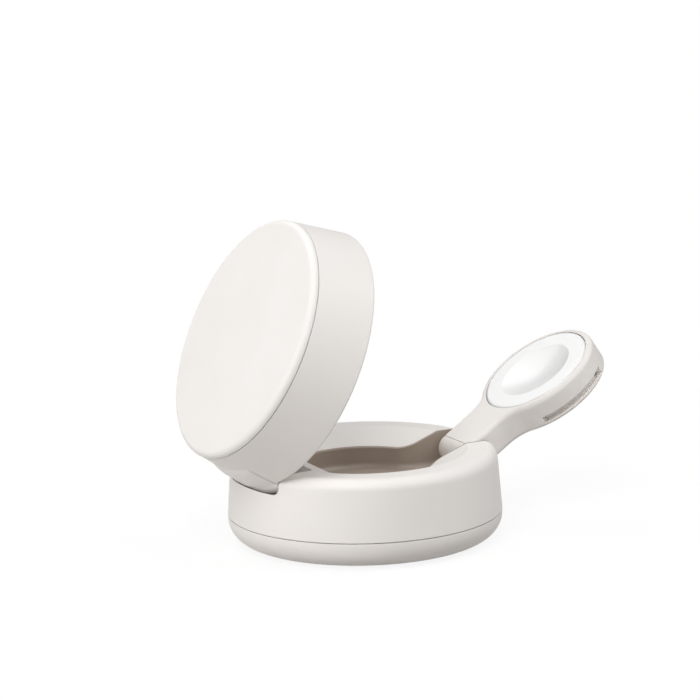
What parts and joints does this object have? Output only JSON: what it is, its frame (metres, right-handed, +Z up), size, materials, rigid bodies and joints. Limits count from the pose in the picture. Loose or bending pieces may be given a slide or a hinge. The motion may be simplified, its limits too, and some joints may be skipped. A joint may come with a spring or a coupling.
{
  "type": "two-in-one magnetic wireless charger",
  "caption": "Round weighted desk charger with a tilting magnetic disc for a phone and a small arm with a round watch puck that folds into a recess in the base.",
  "frame": {"origin": "centre of the foot's underside, on the table", "axes": "+Z is up, +X points from the centre to the watch arm and the inlet, so the phone disc faces -X; +Y completes the right hand"},
  "size_m": [0.1136, 0.07, 0.0835],
  "materials": {
    "shell_plastic": "fine satin texture",
    "face_plastic": "smooth satin",
    "tray_plastic": "satin",
    "puck_plastic": "polished",
    "foot_rubber": "matt",
    "steel": "plain",
    "magnet_plating": "nickel plated",
    "copper_wire": "wound wire",
    "ferrite": "sintered",
    "circuit_board": "solder mask",
    "spreader_aluminium": "plain"
  },
  "bodies": {
    "base": {"foot_pad": "foot_rubber", "base_bottom_cover": "shell_plastic", "base_shell": "shell_plastic", "inner_tray": "tray_plastic", "ballast_plate": "steel", "base_circuit_board": "circuit_board", "usb_c_socket": "steel", "base_screws": "steel", "disc_hinge_bracket": "steel", "bracket_screws": "steel", "disc_hinge_pin": "steel", "arm_hinge_pin": "steel", "arm_spring_washers": "steel"},
    "phone_disc": {"disc_housing": "shell_plastic", "disc_face": "face_plastic", "disc_back_plate": "shell_plastic", "disc_friction_sleeve": "steel", "charging_coil": "copper_wire", "ferrite_shield": "ferrite", "magnet_ring": "magnet_plating", "heat_spreader": "spreader_aluminium", "disc_circuit_board": "circuit_board", "disc_board_screws": "steel"},
    "watch_arm": {"arm_housing": "shell_plastic", "arm_back_cover": "shell_plastic", "watch_puck": "puck_plastic", "watch_coil": "copper_wire", "watch_magnet": "magnet_plating", "watch_ferrite": "ferrite", "watch_circuit_board": "circuit_board"}
  },
  "joints": [
    {"name": "disc_tilt", "type": "hinge", "parent": "base", "child": "phone_disc", "pos_m": [-0.02895, 0, 0.02175], "axis": [0, -1, 0], "range_deg": [-60, 0]},
    {"name": "arm_flip", "type": "hinge", "parent": "base", "child": "watch_arm", "pos_m": [0.0286, 0, 0.0186], "axis": [0, -1, 0], "range_deg": [0, 146]}
  ]
}
